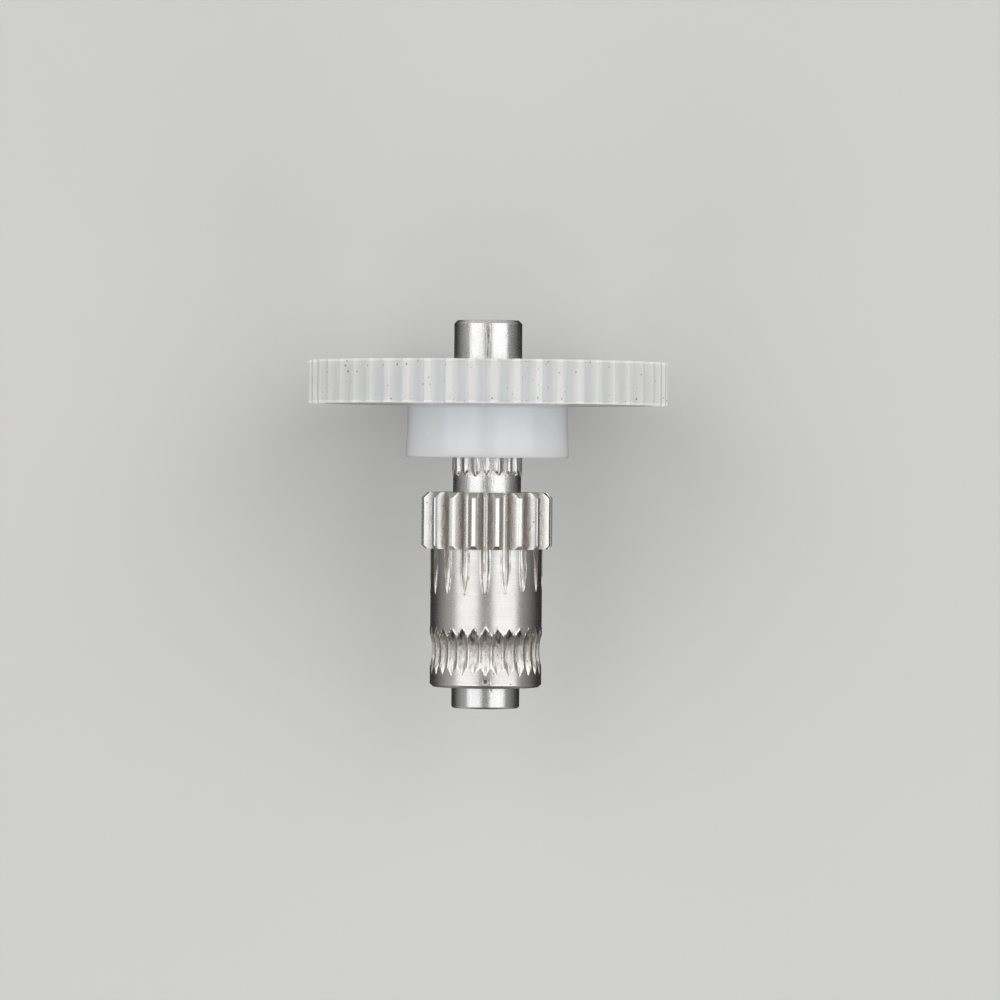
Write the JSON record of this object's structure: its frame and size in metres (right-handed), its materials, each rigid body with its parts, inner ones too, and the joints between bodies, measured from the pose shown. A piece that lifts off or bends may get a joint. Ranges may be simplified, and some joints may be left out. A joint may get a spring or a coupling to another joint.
{
  "type": "extruder gear assembly",
  "caption": "Filament extruder primary shaft: a large plastic spur gear with a hub and a hobbed steel drive gear, both fixed on a round steel shaft.",
  "frame": {"origin": "centre of the shaft's drive-end face, on the axis that the assembly turns about", "axes": "+Y along the shaft, from the drive end to the large gear's end; +Z is opposite to the set screw"},
  "size_m": [0.0264, 0.0284, 0.0264],
  "materials": {
    "shaft_steel": "ground and polished, bright",
    "natural_plastic": "natural white acetal, slightly translucent, satin as cut",
    "gear_steel": "turned and hobbed, satin with fine turning marks",
    "black_steel": "black oxide"
  },
  "bodies": {
    "root": {"shaft": "shaft_steel", "large_gear": "natural_plastic", "drive_gear": "gear_steel", "set_screw": "black_steel"}
  },
  "joints": []
}
